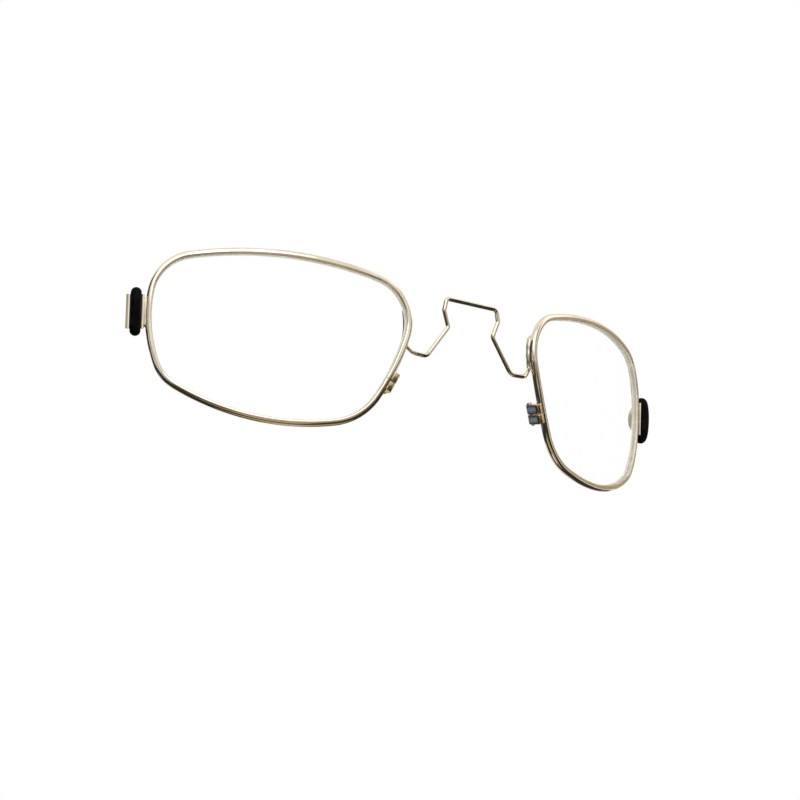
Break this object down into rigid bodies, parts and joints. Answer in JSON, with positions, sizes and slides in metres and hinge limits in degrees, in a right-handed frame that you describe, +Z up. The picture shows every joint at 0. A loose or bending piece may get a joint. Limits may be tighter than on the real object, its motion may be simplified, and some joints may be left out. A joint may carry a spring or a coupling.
{
  "type": "clip-in prescription lens insert",
  "caption": "Wire-framed clip-in prescription lens insert for wrap sunglasses: grooved metal rims, spring wire bridge, rim lock screws and rubber side bumpers.",
  "frame": {"origin": "middle of the bridge wire's straight top bar, on the wire's centre line", "axes": "+X along the bar towards the lens on the right as seen from the front, -Y the way the insert faces, +Z up as worn"},
  "size_m": [0.1202, 0.0247, 0.0316],
  "materials": {
    "plated_metal": "polished, pale gold plating",
    "screw_steel": "bright, turned",
    "solder": "plated over, slightly discoloured",
    "lens_resin": "clear, polished, anti-reflection coated",
    "black_rubber": "moulded, slight sheen"
  },
  "bodies": {
    "bridge": {"bridge_wire": "plated_metal"},
    "left_wing": {"left_rim": "plated_metal", "left_lens": "lens_resin", "left_lock_upper": "plated_metal", "left_lock_lower": "plated_metal", "left_bumper_clip": "plated_metal", "left_bumper_pad": "black_rubber", "left_clip_solder": "solder", "left_bridge_solder": "solder"},
    "right_wing": {"right_rim": "plated_metal", "right_lens": "lens_resin", "right_lock_upper": "plated_metal", "right_lock_lower": "plated_metal", "right_bumper_clip": "plated_metal", "right_bumper_pad": "black_rubber", "right_clip_solder": "solder", "right_bridge_solder": "solder"},
    "left_screw": {"left_lock_screw": "screw_steel"},
    "right_screw": {"right_lock_screw": "screw_steel"}
  },
  "joints": [
    {"name": "left_wing_flex", "type": "hinge", "parent": "bridge", "child": "left_wing", "pos_m": [-0.0113, 0, -0.0111], "axis": [0, 0, -1], "range_deg": [-6, 6], "stiffness_Nm_per_rad": 0.12, "deforming": ["bridge_wire"]},
    {"name": "right_wing_flex", "type": "hinge", "parent": "bridge", "child": "right_wing", "pos_m": [0.0113, 0, -0.0111], "axis": [0, 0, 1], "range_deg": [-6, 6], "stiffness_Nm_per_rad": 0.12, "deforming": ["bridge_wire"]},
    {"name": "left_screw_out", "type": "slide", "parent": "left_wing", "child": "left_screw", "axis": [0.4154, -0.1571, 0.896], "range_m": [0, 0.003]},
    {"name": "right_screw_out", "type": "slide", "parent": "right_wing", "child": "right_screw", "axis": [-0.4154, -0.1571, 0.896], "range_m": [0, 0.003]}
  ]
}
